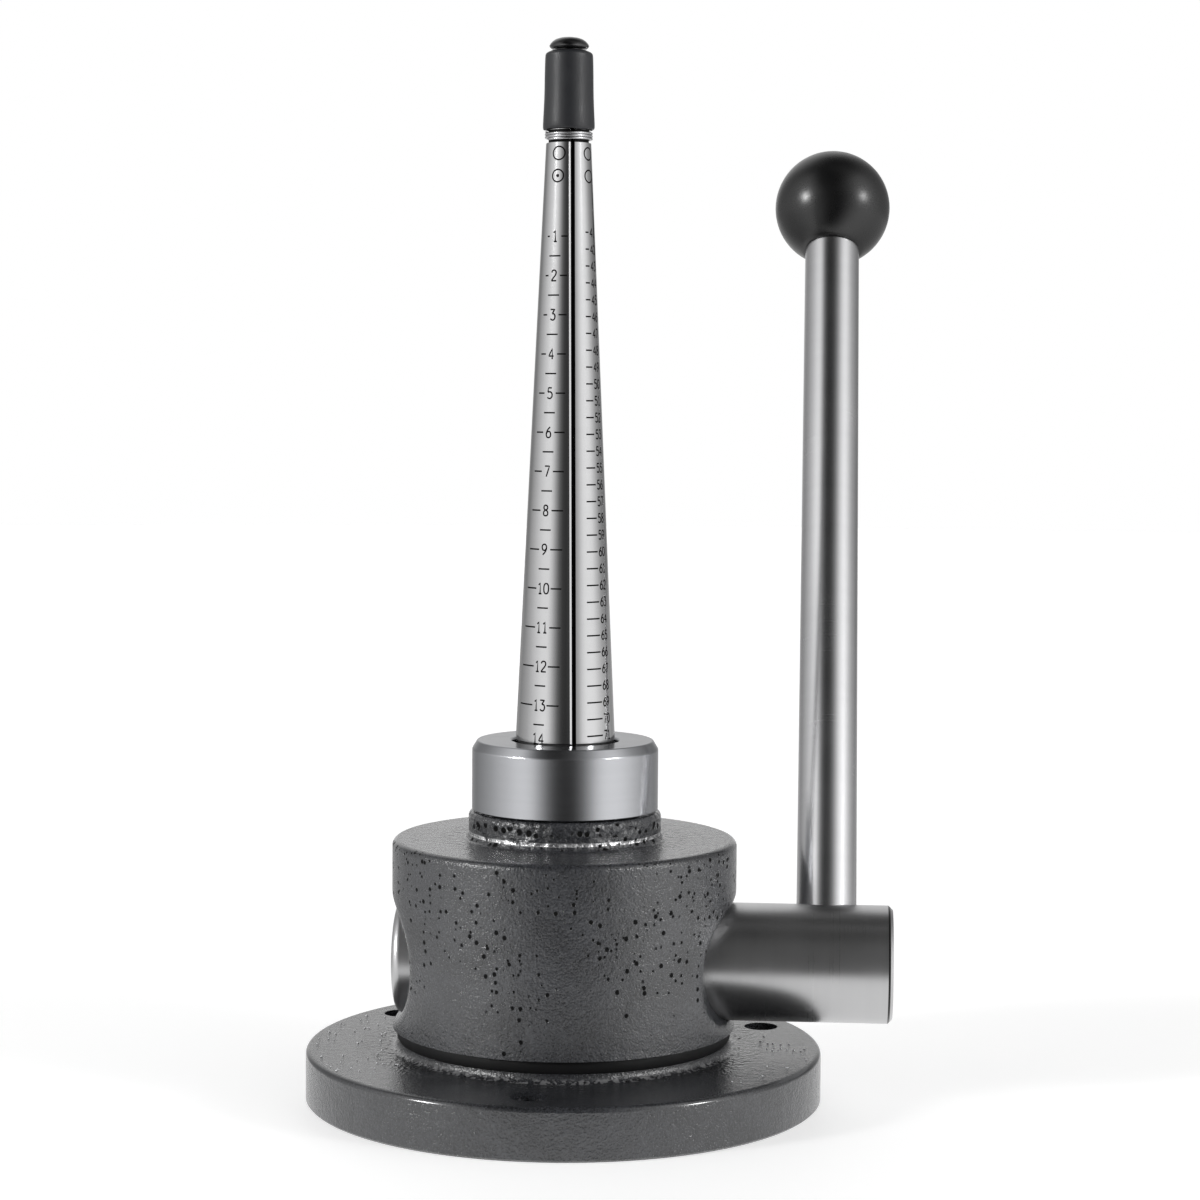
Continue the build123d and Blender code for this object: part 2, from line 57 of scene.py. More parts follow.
# %% [markdown]
# ## The camera
# The view is matched to a product photograph that was taken from a little above the table with a
# long lens, so upright edges stay nearly upright. The camera is placed by its position, its turn
# about the vertical, its tilt and its roll, which a photographer would also read off a tripod head.

# %% Place the camera
camera_at = Vector((56.38, -642.69, 161.82)) * MM
camera_turn = radians(4.318)
camera_tilt = radians(-4.062)
camera_roll = radians(0.378)

lens = bpy.data.cameras.new("long_lens")
lens.sensor_width = 36.0
lens.lens = 83.9
lens.clip_start, lens.clip_end = 0.01, 50.0
camera = bpy.data.objects.new("camera", lens)
bpy.context.scene.collection.objects.link(camera)
camera.location = camera_at
camera.rotation_euler = (
    Matrix.Rotation(camera_turn, 3, "Z")
    @ Matrix.Rotation(radians(90) + camera_tilt, 3, "X")
    @ Matrix.Rotation(camera_roll, 3, "Z")
).to_euler()
bpy.context.scene.camera = camera
print("camera is", round(camera_at.length / MM), "mm from the base's centre")

# %% [markdown]
# ## Light and floor
# Bright metal shows the room it stands in. A studio for such tools is a white table, a white
# backdrop, a tall soft light on each side and a dark ceiling, with a dark gap between the lights
# where the photographer stands. That gap is the dark stripe that every polished bar shows. Lamps
# would do, but a sky that changes with direction makes less noise.

# %% Small helpers for node trees
def give(node, inputs):
    """Give a node's inputs their values or links."""
    for key, value in inputs.items():
        if isinstance(value, bpy.types.NodeSocket):
            node.id_data.links.new(value, node.inputs[key])
        else:
            node.inputs[key].default_value = value


def add_node(tree, kind, inputs=None, **settings):
    """Add a node, set its properties, and give its inputs values or links."""
    node = tree.nodes.new("ShaderNode" + kind)
    for key, value in settings.items():
        setattr(node, key, value)
    give(node, inputs or {})
    return node


def math(operation, a, b=0.0):
    """One step of arithmetic on numbers or sockets."""
    tree = next(value.id_data for value in (a, b) if isinstance(value, bpy.types.NodeSocket))
    return add_node(tree, "Math", {0: a, 1: b}, operation=operation).outputs[0]


plus, minus, times = (partial(math, operation) for operation in ("ADD", "SUBTRACT", "MULTIPLY"))


def parts_of(place):
    """The X, Y and Z of a place or a direction."""
    return add_node(place.id_data, "SeparateXYZ", {0: place}).outputs


def ramp(factor, stops):
    """A colour ramp of greys: stops are (place, brightness)."""
    node = add_node(factor.id_data, "ValToRGB", {"Fac": factor})
    elements = node.color_ramp.elements
    while len(elements) < len(stops):
        elements.new(0.5)
    for element, (place, grey) in zip(elements, stops):
        element.position = place
        element.color = (grey, grey, grey, 1)
    return node.outputs["Color"]


# %% [markdown]
# ### The room by direction
# The brightness is written down all the way round, like a photographer's light plan, and looked
# up by direction. The table gets its own plan.

# %% How bright the room is all the way round
camera_side = radians(-85.0)
# each stop is (degrees round from the camera's side, brightness), to the left below zero
sky_round = [
    (-180, 1.0), (-165, 0.8), (-150, 0.35), (-134, 0.38), (-118, 0.56), (-104, 0.7), (-85, 0.94), (-65, 1.12),
    (-48, 1.15), (-38, 0.85), (-30, 0.5), (-20, 0.18), (-10, 0.07), (0, 0.05), (10, 0.08), (20, 0.24), (30, 0.58),
    (40, 0.95), (50, 1.2), (65, 1.25), (77, 1.18), (90, 0.88), (108, 0.5), (124, 0.36), (140, 0.25), (155, 0.4),
    (167, 0.8), (180, 1.0),
]
table_round = [
    (-180, 0.9), (-140, 0.42), (-120, 0.5), (-103, 0.6), (-85, 0.82), (-75, 0.92), (-63, 1.12), (-51, 1.22),
    (-41, 1.12), (-30, 0.6), (-20, 0.2), (-10, 0.05), (0, 0.03), (10, 0.04), (20, 0.18), (30, 0.55), (41, 1.12),
    (51, 1.3), (63, 1.3), (75, 1.22), (88, 1.02), (103, 0.8), (120, 0.6), (140, 0.48), (180, 0.9),
]
brightest = 1.4


def brightness_round(way, stops):
    """Look up how bright the room is in a direction, by its turn away from the camera's side."""
    turned_way = add_node(way.id_data, "Mapping", {"Vector": way, "Rotation": (0, 0, -camera_side)}).outputs[0]
    x, y, _ = parts_of(turned_way)
    place = plus(times(math("ARCTAN2", y, x), 0.5 / pi), 0.5)
    greys = [(0.5 + angle / 360, brightness / brightest) for angle, brightness in stops]
    return times(ramp(place, greys), brightest)


print("light plan:", len(sky_round), "stops for the room,", len(table_round), "for the table")

# %% [markdown]
# ### The studio
# Towards the ceiling the dark gap widens and leans a little to the left, and the light fades. Each
# soft light has a bright middle, which a ball shows as a small spot. The camera sees a plain
# white backdrop, so the sky is only for reflections and lighting.

# %% The studio as a sky
gap_widens, gap_leans = 0.55, 0.13
left_light_at, right_light_at, light_height = radians(-149.0), radians(-23.0), radians(19.0)
left_glow, right_glow, glow_tightness = 70.0, 44.0, 400.0

sky = bpy.data.worlds.new("studio")
bpy.context.scene.world = sky
sky.use_nodes = True
tree = sky.node_tree
tree.nodes.clear()
way = add_node(tree, "TexCoord").outputs["Generated"]
x, y, height = parts_of(way)
risen = math("MAXIMUM", height, 0.0)
narrowed = times(x, minus(1.0, times(risen, gap_widens)))
leaned = add_node(tree, "CombineXYZ", {
    "X": plus(narrowed, times(risen, gap_leans)), "Y": y, "Z": height,
}).outputs[0]
by_height = ramp(height, [
    (0.0, 1.0), (0.62, 1.0), (0.7, 0.9), (0.76, 0.78), (0.8, 0.62), (0.84, 0.4), (0.9, 0.2), (1.0, 0.1),
])
room = times(brightness_round(leaned, sky_round), by_height)


def glow(angle, strength):
    """The bright middle of one soft light."""
    aim = (cos(angle) * cos(light_height), sin(angle) * cos(light_height), sin(light_height))
    near = add_node(tree, "VectorMath", {0: way, 1: aim}, operation="DOT_PRODUCT").outputs["Value"]
    return times(math("POWER", math("MAXIMUM", near, 0.0), glow_tightness), strength)


def seen_or_mirrored(seen, mirrored):
    """One shader for what the camera looks at, another for reflections and for lighting."""
    tree = seen.id_data
    looking = add_node(tree, "LightPath").outputs["Is Camera Ray"]
    return add_node(tree, "MixShader", {0: looking, 1: mirrored, 2: seen}).outputs[0]


room = plus(plus(room, glow(left_light_at, left_glow)), glow(right_light_at, right_glow))
studio_light = add_node(tree, "Background", {"Color": room}).outputs[0]
backdrop = add_node(tree, "Background", {"Color": (1, 1, 1, 1)}).outputs[0]
add_node(tree, "OutputWorld", {"Surface": seen_or_mirrored(backdrop, studio_light)})
bpy.context.scene.view_settings.view_transform = "Standard"
print("studio made with", len(tree.nodes), "nodes")

# %% [markdown]
# ### The table
# The table is white where the camera sees it. In the metal's reflections only a sheet under the
# tool is white, and further out the table is as bright as the lights above that side, because the
# lights hang low and the table picks them up. The collar and drum lean on this for their contrast.

# %% Lay the table
sheet_r, sheet_fade = 0.11, 0.09


def spread(value, low, high, new_low=0.0, new_high=1.0):
    """Stretch part of a value's range onto another range."""
    return add_node(value.id_data, "MapRange", {0: value, 1: low, 2: high, 3: new_low, 4: new_high}).outputs[0]


bpy.ops.mesh.primitive_circle_add(vertices=96, radius=3.0, fill_type="NGON", location=(0, 0, -0.0001))
table = bpy.context.object
table.name = "table"
white_table = bpy.data.materials.new("white_table")
white_table.use_nodes = True
tree = white_table.node_tree
shader = tree.nodes["Principled BSDF"]
give(shader, {"Base Color": (0.8, 0.8, 0.8, 1), "Roughness": 0.6, "Emission Color": (1, 1, 1, 1),
              "Emission Strength": 0.55})
spot = add_node(tree, "TexCoord").outputs["Object"]
distance = add_node(tree, "VectorMath", {0: spot}, operation="LENGTH").outputs["Value"]
away = spread(distance, sheet_r, sheet_r + sheet_fade)
mirrored = add_node(tree, "Mix", {0: away, 2: 1.0, 3: brightness_round(spot, table_round)}, data_type="FLOAT")
glowing = add_node(tree, "Emission", {"Color": mirrored.outputs[0]}).outputs[0]
give(tree.nodes["Material Output"], {"Surface": seen_or_mirrored(shader.outputs[0], glowing)})
table.data.materials.append(white_table)
print("table", round(max(table.dimensions)), "m across")

# %% [markdown]
# ## How the pieces are modelled
# Nearly all of this tool comes off a lathe. A turned piece is made the way a lathe works: start
# from a circle, then extrude and resize that edge ring along the outline of half the section.
# `spin` would also do, but ring by ring the edges stay evenly spaced and the poles close cleanly.

# %% Helpers that act like hands
def only(piece):
    """Select one piece and nothing else."""
    bpy.ops.object.select_all(action="DESELECT")
    piece.select_set(True)
    bpy.context.view_layer.objects.active = piece


def mode(name):
    """Go to EDIT or OBJECT mode."""
    bpy.ops.object.mode_set(mode=name)


def settle(piece):
    """Leave the piece's object at the origin, unturned and unscaled."""
    only(piece)
    bpy.ops.object.transform_apply(location=True, rotation=True, scale=True)
    return piece


def use(piece, kind, **settings):
    """Add a modifier and apply it at once."""
    only(piece)
    modifier = piece.modifiers.new(kind.lower(), kind)
    for key, value in settings.items():
        setattr(modifier, key, value)
    bpy.ops.object.modifier_apply(modifier=modifier.name)


# %% A lathe
def turned(name, outline, sides, ring=False):
    """Turn a half section, given as (radius, height) in millimetres, about the Z axis.

    A first or last point on the axis closes that end. A ring joins its last point to its first.
    """
    points = list(outline)
    capped = points[0][0] == 0
    if capped:
        points.pop(0)
    radius, height = points[0]
    bpy.ops.mesh.primitive_circle_add(vertices=sides, radius=radius * MM, location=(0, 0, height * MM),
                                      fill_type="TRIFAN" if capped else "NOTHING")
    piece = bpy.context.object
    piece.name = piece.data.name = name
    mode("EDIT")
    bpy.ops.mesh.select_mode(type="EDGE")
    if capped:
        bpy.ops.mesh.region_to_loop()
    for new_radius, new_height in points[1:] + (points[:1] if ring else []):
        rise = (new_height - height) * MM
        bpy.ops.mesh.extrude_region_move(TRANSFORM_OT_translate={"value": (0, 0, rise)})
        if new_radius == 0:
            bpy.ops.mesh.merge(type="CENTER")
        elif new_radius != radius:
            share = new_radius / radius
            bpy.ops.transform.resize(value=(share, share, 1), center_override=(0, 0, 0))
        radius, height = new_radius, new_height
    bpy.ops.mesh.select_all(action="SELECT")
    bpy.ops.mesh.remove_doubles(threshold=1e-7)
    bpy.ops.mesh.normals_make_consistent()
    mode("OBJECT")
    return settle(piece)


def fillet_points(corner, before, after, radius):
    """Points of a round corner between two straight runs of an outline."""
    corner, before, after = Vector(corner), Vector(before), Vector(after)
    a, b = (before - corner).normalized(), (after - corner).normalized()
    half = a.angle(b) / 2
    centre = corner + (a + b).normalized() * radius / sin(half)
    start, end = (corner + way * radius / (sin(half) / cos(half)) for way in (a, b))
    first = atan2(start.y - centre.y, start.x - centre.x)
    sweep = atan2(end.y - centre.y, end.x - centre.x) - first
    sweep = (sweep + pi) % (2 * pi) - pi
    steps = 6
    turns = [first + sweep * k / steps for k in range(steps + 1)]
    return [(centre.x + radius * cos(turn), centre.y + radius * sin(turn)) for turn in turns]


# %% A drill, a file, and what every finished piece gets
def cut(piece, cutter):
    """Take a cutter's shape out of a piece, then throw the cutter away."""
    use(piece, "BOOLEAN", operation="DIFFERENCE", solver="EXACT", object=cutter)
    bpy.data.objects.remove(cutter)


def drill(piece, radius, circle_r, angle, bottom, top, sides=64):
    """A hole up through a piece, on a circle round the axis, in millimetres and degrees."""
    turn = radians(angle)
    place = (circle_r * cos(turn) * MM, circle_r * sin(turn) * MM, (bottom + top) / 2 * MM)
    bpy.ops.mesh.primitive_cylinder_add(
        vertices=sides, radius=radius * MM, depth=(top - bottom) * MM, location=place)
    cut(piece, bpy.context.object)


def soften(piece, width, angle=30.0, segments=3, smooth=40.0):
    """Break the sharp edges as a file would, then shade the piece smoothly up to those edges."""
    use(piece, "BEVEL", width=width * MM, segments=segments, limit_method="ANGLE",
        angle_limit=radians(angle))
    only(piece)
    bpy.ops.object.shade_smooth_by_angle(angle=radians(smooth))
    use(piece, "WEIGHTED_NORMAL", keep_sharp=True)


def dress(piece, material, slot, body, *nodes):
    """Give a finished piece its material and its body, and hide the CAD nodes it stands for. The slot is not used."""
    piece.data.materials.clear()
    piece.data.materials.append(material)
    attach(piece, body)
    if nodes:
        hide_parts(*nodes)
    print(piece.name, "has", len(piece.data.polygons), "faces")


# %% [markdown]
# ## Finishes
# Each finish is a small node tree that reads the piece's own coordinates, so the pattern stays on
# the piece when it moves. Coordinates are turned into millimetres first, so every scale is so
# much per millimetre. Pictures would also do, but they blur close up.

# %% Helpers for finishes
def new_finish(name, colour, roughness, metallic=0.0):
    """A material, its tree and shader, and the piece's coordinates in millimetres."""
    material = bpy.data.materials.new(name)
    material.use_nodes = True
    tree = material.node_tree
    shader = tree.nodes["Principled BSDF"]
    give(shader, {"Base Color": (*colour, 1), "Roughness": roughness, "Metallic": metallic})
    place = add_node(tree, "TexCoord").outputs["Object"]
    place = add_node(tree, "VectorMath", {0: place, 1: (1000, 1000, 1000)}, operation="MULTIPLY").outputs[0]
    return material, tree, shader, place


def bump(shader, height, strength=1.0):
    """Raise the surface where height, in millimetres, is large."""
    node = add_node(shader.id_data, "Bump", {"Height": height, "Strength": strength, "Distance": MM})
    give(shader, {"Normal": node.outputs[0]})


def noise(place, scale, detail=2.0, roughness=0.5):
    """Soft noise from 0 to 1."""
    settings = {"Vector": place, "Scale": scale, "Detail": detail, "Roughness": roughness}
    return add_node(place.id_data, "TexNoise", settings).outputs[0]


def from_axis(x, y):
    """How far a place is from the axis."""
    return math("SQRT", plus(times(x, x), times(y, y)))


def mix_colours(share, first, second):
    """Blend two colours by a share from 0 to 1."""
    colours = [value if isinstance(value, bpy.types.NodeSocket) else (*value, 1) for value in (first, second)]
    return add_node(share.id_data, "Mix", {0: share, 6: colours[0], 7: colours[1]}, data_type="RGBA").outputs[2]


def lay_over(shader, share, name, value):
    """Mix a colour over what already feeds one of the shader's inputs."""
    plain = shader.inputs[name].links[0].from_socket
    give(shader, {name: mix_colours(share, plain, value)})


# %% [markdown]
# ### Grey enamel
# The castings are dipped in a thick grey enamel. It is glossy, slightly uneven like orange peel,
# and gas from the iron leaves small open pits, which are painted black as painted shade inside them.
# Where it met an upright wall it ran and set in ripples. Round the boss's foot a broken bright line
# in a metal colour is a painted highlight, where a bead of enamel would catch the light.
# Two sizes of cell pattern make the pits and a slow noise gathers them into patches. All of it
# goes through one bump: it is too fine to be worth the faces.

# %% Pits, bands and waves
def band(value, middle, half, fade):
    """1 where a value is near the middle, fading to 0."""
    return spread(math("ABSOLUTE", minus(value, middle)), half, half + fade, 1.0, 0.0)


def waves(place, scale, detail, depth):
    """Noise that rises as much as it sinks."""
    return times(minus(noise(place, scale, detail), 0.5), depth)


def pits(place, patches, scale, few, many, widest=0.31, more=0.0):
    """Round holes: a cell holds one if its luck is above a bar that is low inside a patch."""
    cells = add_node(place.id_data, "TexVoronoi", {"Vector": place, "Scale": scale}, feature="F1")
    luck = add_node(place.id_data, "SeparateColor", {0: cells.outputs["Color"]}).outputs[0]
    bar = plus(spread(patches, 0.4, 0.6, few, many), more)
    reach = math("MINIMUM", times(minus(luck, bar), 3.0), widest)
    return spread(minus(reach, cells.outputs["Distance"]), 0.0, 0.1)


# %% What marks each casting
drum_top, seat_r = 60.75, 38.5


def housing_marks(place, patches, facing_up):
    """The housing's pits, the painted highlight round the boss's foot, and the waves of its boss."""
    up = parts_of(place)[2]
    # the flat top is nearly free of pits and the foot of the drum has few
    low_down = spread(up, 22.0, 36.0, 0.3, 0.0)
    large = pits(place, patches, 0.52, 0.82, 0.38, more=low_down)
    small = pits(place, patches, 0.8, 0.92, 0.66, more=low_down)
    holes = times(math("MAXIMUM", large, small), spread(facing_up, 0.6, 0.95, 1.0, 0.12))
    # the boss has a row of big pits, a painted highlight round its foot, and black pits below that line
    row = math("MAXIMUM", band(up, drum_top + 3.9, 0.8, 0.4), band(up, drum_top + 0.6, 0.3, 0.2))
    holes = math("MAXIMUM", holes, times(pits(place, patches, 0.5, 0.25, 0.25, 0.42), row))
    broken = spread(noise(place, 0.5, 2.0, 0.7), 0.36, 0.46)
    bright = times(band(up, drum_top + 1.45, 0.28, 0.2), broken)
    on_boss = spread(up, drum_top + 0.1, drum_top + 0.4)
    return holes, bright, times(waves(place, 0.45, 1.0, 1.3), on_boss)


def base_marks(place, patches, facing_up):
    """The base plate's pits and a faint painted highlight, which only the fillet round its seat has."""
    out = from_axis(*parts_of(place)[:2])
    near_seat = times(band(out, seat_r + 2.0, 1.2, 1.0), spread(facing_up, 0.4, 0.7))
    holes = times(pits(place, patches, 0.7, 0.5, 0.3), near_seat)
    # a faint, broken painted highlight along the seat's fillet
    broken = spread(noise(place, 0.9, 1.0), 0.5, 0.56)
    bright = times(times(band(out, seat_r + 1.0, 0.5, 0.4), broken), 0.22)
    return holes, bright, 0.0


# %% Enamel
# the pits are painted black as painted shade, and the bright lines are a painted highlight in a bright metal colour
painted_pit_shade, painted_highlight_metal = (0.008, 0.008, 0.008), (0.85, 0.85, 0.86)


def enamel_finish(name, colour, patch_shift, edge_z, edge_half, wall_r, marks):
    """Enamel with one casting's marks, a smooth edge at one height and ripples at one radius."""
    material, tree, shader, place = new_finish(name, colour, 0.18)
    shifted = add_node(tree, "VectorMath", {0: place, 1: patch_shift}, operation="ADD").outputs[0]
    patches = noise(shifted, 0.05, 1.0)
    x, y, up = parts_of(place)
    facing_up = parts_of(add_node(tree, "TexCoord").outputs["Normal"])[2]
    level = spread(facing_up, 0.9, 0.99)
    holes, bright, lumps = marks(place, patches, facing_up)

    grain = noise(place, 2.0, 2.0, 0.7)
    tone = spread(plus(times(noise(place, 0.1, 3.0), 0.3), times(grain, 0.7)), 0.3, 0.7)
    tone = mix_colours(tone, [c * 0.15 for c in colour], [c * 1.95 for c in colour])
    # painted highlight: a bright metal colour along the marks' bright line
    tone = mix_colours(bright, tone, painted_highlight_metal)

    peel = plus(waves(place, 0.5, 2.0, 0.28), times(minus(grain, 0.5), 0.26))
    ripple = times(waves(place, 0.9, 1.5, 0.9), times(band(from_axis(x, y), wall_r, 2.2, 2.0), level))
    # the enamel drew thin and smooth over the rounded outer edge
    edge = times(band(up, edge_z, edge_half, 0.15), spread(facing_up, 0.9, 0.97, 1.0, 0.0))
    height = times(plus(plus(peel, ripple), lumps), spread(edge, 0.0, 1.0, 1.0, 0.04))
    bump(shader, minus(height, times(holes, 0.5)), 0.6)
    rough = spread(math("MAXIMUM", edge, times(level, 0.6)), 0.0, 1.0, 0.18, 0.12)
    # the pits are made black, matt and dull as painted shade, and the painted highlight is also made metallic
    give(shader, {
        "Base Color": mix_colours(holes, tone, painted_pit_shade),
        "Roughness": spread(holes, 0.0, 1.0, rough, 0.6),
        "Specular IOR Level": spread(holes, 0.0, 1.0, 0.98, 0.05),
        "Metallic": times(bright, spread(holes, 0.0, 1.0, 0.9, 0.0)),
    })
    return material


enamel_grey = (0.036, 0.0375, 0.042)
housing_enamel = enamel_finish(
    "housing_enamel", enamel_grey, (40, 0, 10), edge_z=60.4, edge_half=0.45, wall_r=26.0, marks=housing_marks)
base_enamel = enamel_finish(
    "base_enamel", [c * 0.75 for c in enamel_grey], (0, 90, 0), edge_z=11.5, edge_half=0.6, wall_r=seat_r + 5.0,
    marks=base_marks)
print("enamel made with", len(housing_enamel.node_tree.nodes), "nodes")

# %% [markdown]
# ### Turned and ground steel
# A lathe leaves fine rings round its axis, also on end faces. Distance from the axis and place
# along it are fed to one noise, so the rings run the right way on every face of a turned piece.

# %% Turned steel
def turned_steel(name, colour, roughness, axis="Z", centre=(0, 0, 0), tilt=0.0, depth=0.0009, edge=1.0):
    """Metal with fine rings round its axis. Edge is how bright it is at a slant."""
    material, tree, shader, place = new_finish(name, colour, roughness, 1.0)
    place = add_node(tree, "VectorMath", {0: place, 1: centre}, operation="SUBTRACT").outputs[0]
    if tilt:
        place = add_node(tree, "Mapping", {"Vector": place, "Rotation": (tilt, 0, 0)}).outputs[0]
    x, y, z = parts_of(place)
    out, along = (from_axis(x, y), z) if axis == "Z" else (from_axis(y, z), x)
    rings = add_node(tree, "CombineXYZ", {"X": out, "Y": along}).outputs[0]
    fine, coarse, smudge = noise(rings, 6.0, 3.0, 0.6), noise(rings, 0.5), noise(place, 0.06, 3.0)
    shade = plus(times(coarse, 0.5), times(smudge, 0.5))
    give(shader, {
        "Base Color": mix_colours(shade, [c * 0.94 for c in colour], [min(1.0, c * 1.05) for c in colour]),
        "Roughness": spread(plus(fine, smudge), 0.6, 1.4, roughness * 0.85, roughness * 1.2),
        "Specular Tint": (edge, edge, edge, 1),
    })
    bump(shader, times(fine, depth))
    return material


shaft_z, lever_x, lever_lean = 32.3, 60.9, radians(29.7)
on_lever = {"centre": (lever_x, 0, shaft_z), "tilt": lever_lean}
shaft_steel = turned_steel("shaft_steel", (0.53, 0.53, 0.535), 0.3, depth=0.0002, axis="X", centre=(0, 0, shaft_z))
rod_steel = turned_steel("rod_steel", (0.66, 0.66, 0.67), 0.24, depth=0.0001, edge=0.7, **on_lever)
collar_steel = turned_steel("collar_steel", (0.455, 0.462, 0.48), 0.21, edge=0.62)
core_steel = turned_steel("core_steel", (0.95, 0.95, 0.95), 0.14)
mandrel_steel = turned_steel("mandrel_steel", (0.55, 0.55, 0.555), 0.12, depth=0.0006, edge=0.7)
spring_wire_steel = turned_steel("spring_wire_steel", (0.55, 0.55, 0.56), 0.28)
turned_bronze = turned_steel("turned_bronze", (0.55, 0.36, 0.18), 0.3)
turned_brass = turned_steel("turned_brass", (0.72, 0.55, 0.25), 0.3, **on_lever)
black_screws = turned_steel("black_screws", (0.045, 0.045, 0.05), 0.42)
print("steels made:", shaft_steel.name, rod_steel.name, collar_steel.name, mandrel_steel.name)

# %% The black line at the foot of the shaft's chamfer
# a black band of colour is painted round the corner there as painted shade, where the chamfer meets the shaft
shaft_corner_x, painted_shade_black = 75.3, (0.02, 0.02, 0.02)
along_shaft = parts_of(add_node(shaft_steel.node_tree, "TexCoord").outputs["Object"])[0]
corner_shade_band = band(along_shaft, shaft_corner_x * MM, 0.2 * MM, 0.1 * MM)
lay_over(shaft_steel.node_tree.nodes["Principled BSDF"], corner_shade_band, "Base Color", painted_shade_black)
print("black line at", shaft_corner_x, "mm")

# %% [markdown]
# ### Rubber, plastic and the black of the engraving
# Rubber is matt with a faint mottle, moulded plastic is smooth with a shallow ripple, and the
# numbers are cut into the steel and filled with black that has gone slightly dusty. They differ
# only in how rough, mottled and shiny they are, so one function serves them all.

# %% Rubber, plastic and filling
def soft_black(name, colour, roughness, mottle, depth, specular=0.5):
    """A mottled finish without metal, with a ripple as deep as depth in millimetres."""
    material, tree, shader, place = new_finish(name, colour, roughness)
    cloud = noise(place, 0.25, 3.0)
    give(shader, {
        "Base Color": mix_colours(cloud, [c * (1 - mottle) for c in colour], [c * (1 + mottle) for c in colour]),
        "Roughness": spread(cloud, 0.3, 0.7, roughness * 0.9, roughness * 1.12),
        "Specular IOR Level": specular,
    })
    bump(shader, times(noise(place, 2.2), depth))
    return material


gasket_rubber = soft_black("gasket_rubber", (0.005, 0.005, 0.0055), 0.55, 0.2, 0.02, 0.25)
sleeve_rubber = soft_black("sleeve_rubber", (0.020, 0.021, 0.024), 0.42, 0.12, 0.02)
ball_plastic = soft_black("ball_plastic", (0.004, 0.004, 0.0042), 0.28, 0.1, 0.002, 0.6)
cap_lacquer = soft_black("cap_lacquer", (0.004, 0.004, 0.0045), 0.22, 0.15, 0.003, 1.0)
# near-white dust colour: a painted highlight for the glints the specks would catch
pale_glint_dust = soft_black("pale_glint_dust", (0.95, 0.95, 0.97), 0.35, 0.05, 0.003)
black_filling = soft_black("black_filling", (0.004, 0.004, 0.004), 0.8, 0.3, 0.004, 0.08)
print("blacks made:", ball_plastic.name, sleeve_rubber.name)

# %% [markdown]
# ## Pieces that keep their CAD shape
# The housing, the cross shaft and the works inside already have the right shape, down to the
# rounded mouths of the cross bore. They only get their finish.

# %% Finishes for the CAD nodes
cad_finishes = {
    "housing": housing_enamel,
    "lever_shaft": shaft_steel,
    "body_screws": black_screws,
    "screw_washers": black_screws,
    "cam_follower": core_steel,
    "tapered_core": core_steel,
    "guide_bush": turned_bronze,
    "leaf_pins": core_steel,
    "knob_insert": turned_brass,
}
for node_name, finish in cad_finishes.items():
    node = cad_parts[node_name]
    node.data.materials.clear()
    node.data.materials.append(finish)
print(len(cad_finishes), "CAD nodes keep their shape")

# %% [markdown]
# ## Base plate
# A heavy round foot, 120 mm across, with a shallow seat for the housing. Three holes take bench
# screws, and four more from below take the screws that hold the housing. The disc's edge and the
# foot of the seat are round in the casting, so they are drawn round in the outline. A wide bevel
# would round the holes too, so the bevel stays small.

# %% Turn and drill the base plate
base_r, base_t, seat_top = 60.0, 12.0, 14.0
bench_hole_r, bench_circle_r, bench_turn = 4.0, 51.0, 26.5
screw_hole_r, screw_head_r, screw_circle_r, screw_turns = 4.5, 7.25, 30.0, (45, 135, 225, 315)

base = turned("enamelled_base", [
    (0, 0), (base_r - 0.5, 0), (base_r, 0.5), *fillet_points((base_r, base_t), (base_r, 0), (0, base_t), 1.3),
    *fillet_points((seat_r, base_t), (base_r, base_t), (seat_r, seat_top), 1.6),
    (seat_r, seat_top), (0, seat_top),
], sides=192)
for k in range(3):
    drill(base, bench_hole_r, bench_circle_r, bench_turn + 120 * k, -1, 15)
for turn in screw_turns:
    drill(base, screw_head_r, screw_circle_r, turn, -1, 10)
    drill(base, screw_hole_r, screw_circle_r, turn, 9, 15, sides=48)
soften(base, 0.3, angle=40)
dress(base, base_enamel, "enamel", "frame", "base_plate")

# %% [markdown]
# ### Dust in the enamel, painted pale as glints
# Specks settled on the base plate while the enamel was wet. They are coloured near white, a painted
# highlight for the glints they would catch. Spots in the finish would look painted on, so each speck
# is a low dome, placed by chance with a fixed seed.

# %% Scatter the dust
def dust(name, places, seed):
    """Small domes on a level face.

    Each place is (how many, inner radius, outer radius, height, first turn, last turn).
    """
    chance = Random(seed)
    piece = None
    for count, inner, outer, face_z, first_turn, last_turn in places:
        for _ in range(count):
            r, turn = chance.uniform(inner, outer), radians(chance.uniform(first_turn, last_turn))
            at = (r * cos(turn) * MM, r * sin(turn) * MM, face_z * MM)
            bpy.ops.mesh.primitive_ico_sphere_add(subdivisions=2, radius=chance.uniform(0.16, 0.34) * MM, location=at)
            if not piece:
                piece = bpy.context.object
                piece.name = piece.data.name = name
                mode("EDIT")
            bpy.ops.transform.resize(value=(1, 1, 0.6), center_override=at)
    mode("OBJECT")
    settle(piece)
    bpy.ops.object.shade_smooth()
    dress(piece, pale_glint_dust, "enamel", "frame")


dust("dust_glints_in_enamel", [
    (46, 42.5, 58.0, base_t, 152.0, 216.0), (22, 44.0, 58.0, base_t, -40.0, 18.0),
], seed=5)

# %% [markdown]
# ## The black ring under the housing
# A rubber ring keeps water and dust out of the joint. It is squeezed a little, so its outer wall
# bulges between its two edges. A few points of the outline make that.

